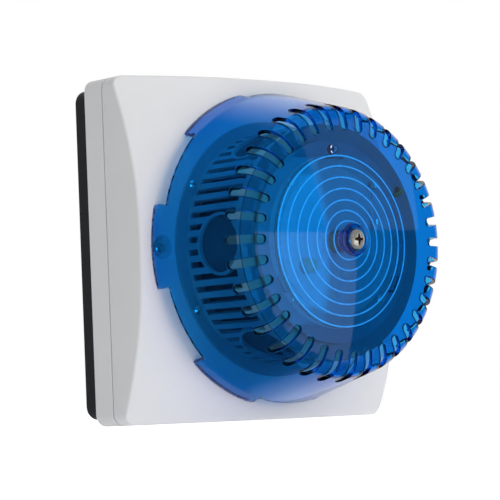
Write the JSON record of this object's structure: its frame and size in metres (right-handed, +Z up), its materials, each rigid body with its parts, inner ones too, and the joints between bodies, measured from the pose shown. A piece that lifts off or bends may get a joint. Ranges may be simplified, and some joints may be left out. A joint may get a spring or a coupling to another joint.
{
  "type": "alarm siren",
  "caption": "Square wall-mounted alarm siren with a large blue translucent strobe dome, slotted round its shoulder, on a light grey housing and black wall plate.",
  "frame": {"origin": "centre of the wall plate's back face, on the wall plane", "axes": "+Z up, +Y into the wall, the dome faces -Y, +X to the right seen from the front"},
  "size_m": [0.2, 0.1343, 0.2],
  "materials": {
    "plate_black": "fine-textured black ABS",
    "housing_grey": "satin light grey ABS, lightly textured",
    "dome_blue": "clear blue polycarbonate, polished",
    "screw_steel": "bright zinc-plated steel",
    "black_rubber": "black rubber",
    "brass": "plain brass",
    "cage_grey": "grey moulded plastic",
    "screen_black": "fine black acoustic mesh",
    "horn_black": "dark grey moulded plastic",
    "yoke_steel": "zinc-plated mild steel",
    "ferrite": "dull grey ferrite",
    "diaphragm_film": "amber phenolic film",
    "lens_clear": "clear polycarbonate with concentric ridges",
    "board_green": "green solder mask",
    "board_white": "white solder mask",
    "reflector_white": "satin reflective sheet",
    "tube_glass": "clear flash tube glass",
    "led_clear": "water-clear LED epoxy",
    "copper_coil": "enamelled copper winding",
    "terminal_green": "green connector plastic",
    "capacitor_sleeve": "dark blue shrink sleeve",
    "transformer_tape": "yellow insulating tape over ferrite",
    "chip_black": "black moulded chip package",
    "switch_black": "black thermoplastic",
    "button_red": "red actuator plastic",
    "carrier_white": "natural white nylon",
    "battery_case": "dark grey ABS battery case",
    "lead_red": "red PVC sleeve",
    "lead_black": "black PVC sleeve",
    "lead_yellow": "yellow PVC sleeve"
  },
  "bodies": {
    "housing": {"wall_plate": "plate_black", "base_housing": "housing_grey", "housing_screws": "screw_steel", "housing_seal": "black_rubber", "front_cover": "housing_grey", "cover_screws": "screw_steel", "lens_dome": "dome_blue", "dome_screw": "screw_steel", "screw_washer": "black_rubber", "centre_post": "brass", "sounder_cage": "cage_grey", "cage_screws": "screw_steel", "port_screens": "screen_black", "horn": "horn_black", "horn_screws": "screw_steel", "driver_yoke": "yoke_steel", "ring_magnet": "ferrite", "top_plate": "yoke_steel", "driver_frame": "horn_black", "driver_cap": "horn_black", "diaphragm_surround": "black_rubber", "driver_screws": "screw_steel", "fresnel_lens": "lens_clear", "strobe_board": "board_white", "strobe_board_screws": "screw_steel", "strobe_reflector": "reflector_white", "flash_tube": "tube_glass", "flash_tube_caps": "screw_steel", "flash_leads": "screw_steel", "trigger_coil": "copper_coil", "status_led": "led_clear", "strobe_leads": "lead_yellow", "main_board": "board_green", "main_board_screws": "screw_steel", "terminal_block": "terminal_green", "terminal_screws": "screw_steel", "flash_capacitor": "capacitor_sleeve", "board_capacitors": "capacitor_sleeve", "inverter_transformer": "transformer_tape", "board_chips": "chip_black", "tamper_switch": "switch_black", "wall_tamper_body": "carrier_white", "wall_tamper_spring": "screw_steel", "wall_tamper_contacts": "brass", "battery": "battery_case", "battery_terminals": "brass", "battery_strap": "yoke_steel", "strap_screws": "screw_steel", "battery_leads": "lead_red", "sounder_leads": "lead_black", "cable_grommet": "black_rubber"},
    "wall_plunger": {"wall_tamper_plunger": "switch_black"},
    "tamper_lever": {"tamper_lever": "screw_steel"},
    "tamper_button": {"tamper_button": "button_red"},
    "diaphragm": {"diaphragm": "diaphragm_film"}
  },
  "joints": [
    {"name": "wall_tamper_slide", "type": "slide", "parent": "housing", "child": "wall_plunger", "axis": [0, 1, 0], "range_m": [0, 0.003], "stiffness_N_per_m": 60, "springref_m": 0.008, "deforming": ["wall_tamper_spring"]},
    {"name": "tamper_lever_hinge", "type": "hinge", "parent": "housing", "child": "tamper_lever", "pos_m": [0.0215, -0.0378, 0.08525], "axis": [0, 0, 1], "range_deg": [0, 3], "stiffness_Nm_per_rad": 0.02, "springref_deg": -17.19},
    {"name": "tamper_button_slide", "type": "slide", "parent": "housing", "child": "tamper_button", "axis": [0, 1, 0], "range_m": [0, 0.0004]},
    {"name": "diaphragm_throw", "type": "slide", "parent": "housing", "child": "diaphragm", "axis": [0, -1, 0], "range_m": [-0.0003, 0.0003], "stiffness_N_per_m": 2000, "deforming": ["diaphragm_surround"]}
  ],
  "couplings": [
    {"joint": "tamper_button_slide", "follows": "tamper_lever_hinge", "m_per_rad": 0.006}
  ]
}
